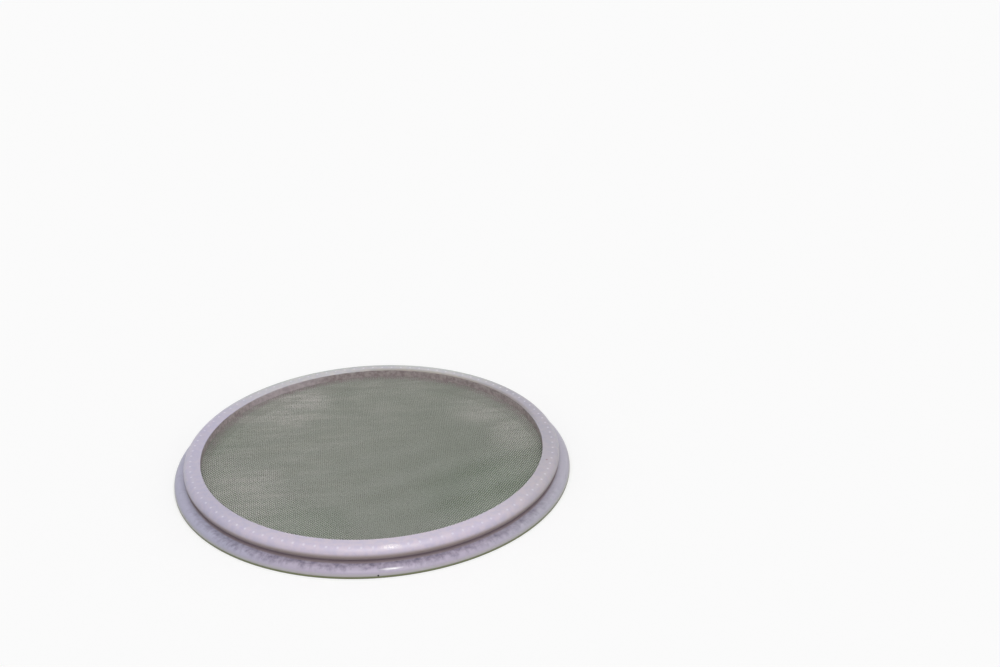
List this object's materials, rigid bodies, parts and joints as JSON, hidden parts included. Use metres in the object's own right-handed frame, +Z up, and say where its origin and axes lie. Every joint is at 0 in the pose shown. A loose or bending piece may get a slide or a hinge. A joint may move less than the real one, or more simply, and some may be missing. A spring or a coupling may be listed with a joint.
{
  "type": "sifter sieve",
  "caption": "Round sifter sieve: flat woven wire mesh held taut below the top of a stepped, moulded silicone rim with a wide clamping flange and a raised sealing bead.",
  "frame": {"origin": "centre of the rim's flat underside", "axes": "+Z up along the rim's axis, from the flange towards the bead; X and Y lie in the plane of the underside, at 45 degrees to the wires"},
  "size_m": [0.304, 0.304, 0.0185],
  "materials": {
    "silicone": "translucent, satin",
    "ring_steel": "satin",
    "wire_steel": "dull woven wire"
  },
  "bodies": {
    "root": {"silicone_rim": "silicone", "support_ring": "ring_steel", "wire_mesh": "wire_steel"}
  },
  "joints": []
}
